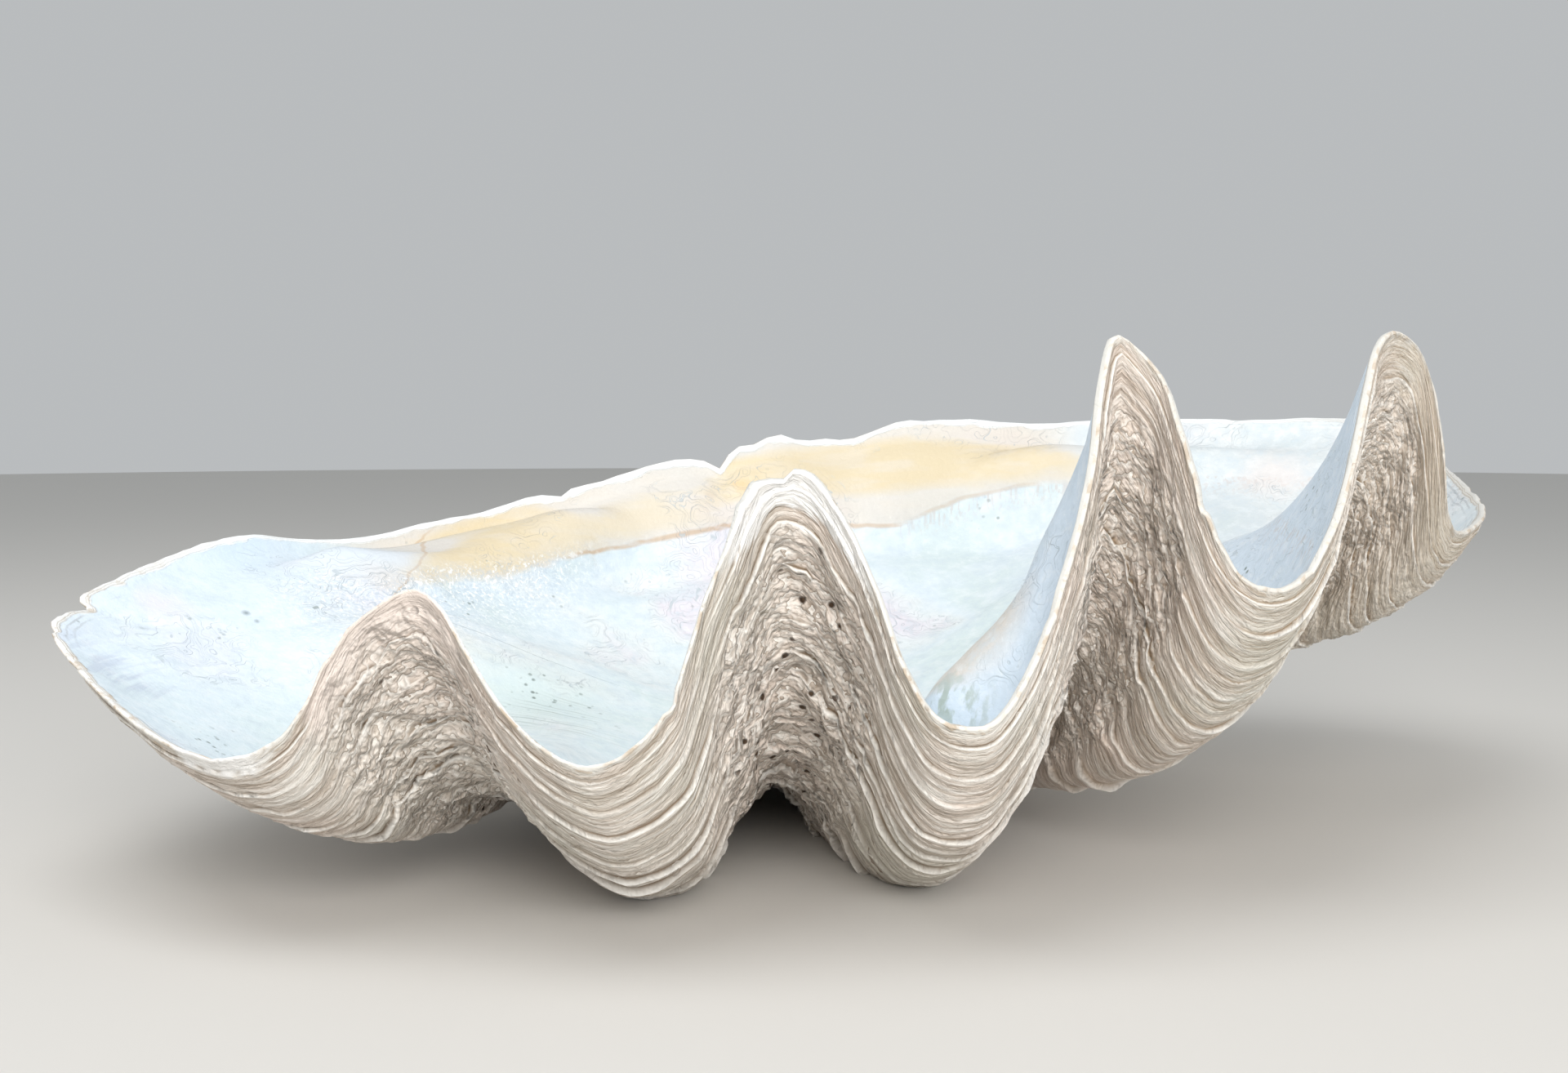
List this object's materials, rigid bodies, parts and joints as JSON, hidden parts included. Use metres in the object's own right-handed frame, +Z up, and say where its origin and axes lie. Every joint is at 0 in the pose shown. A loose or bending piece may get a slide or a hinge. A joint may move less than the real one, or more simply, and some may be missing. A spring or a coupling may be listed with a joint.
{
  "type": "giant clam half shell",
  "caption": "Half shell of a giant clam, open side up, with deep folds along the scalloped front, a chalky ridged outside and a smooth white bowl.",
  "frame": {"origin": "centre of the bounding box, on the ground that the shell lies on", "axes": "+X along the hinge, towards the right end as seen from the scalloped front; +Y from the front to the hinge; +Z up, out of the open bowl"},
  "size_m": [0.804, 0.5128, 0.2579],
  "materials": {
    "shell": "matte chalky outside, satin porcelain-like inside"
  },
  "bodies": {
    "root": {"half_shell": "shell"}
  },
  "joints": []
}
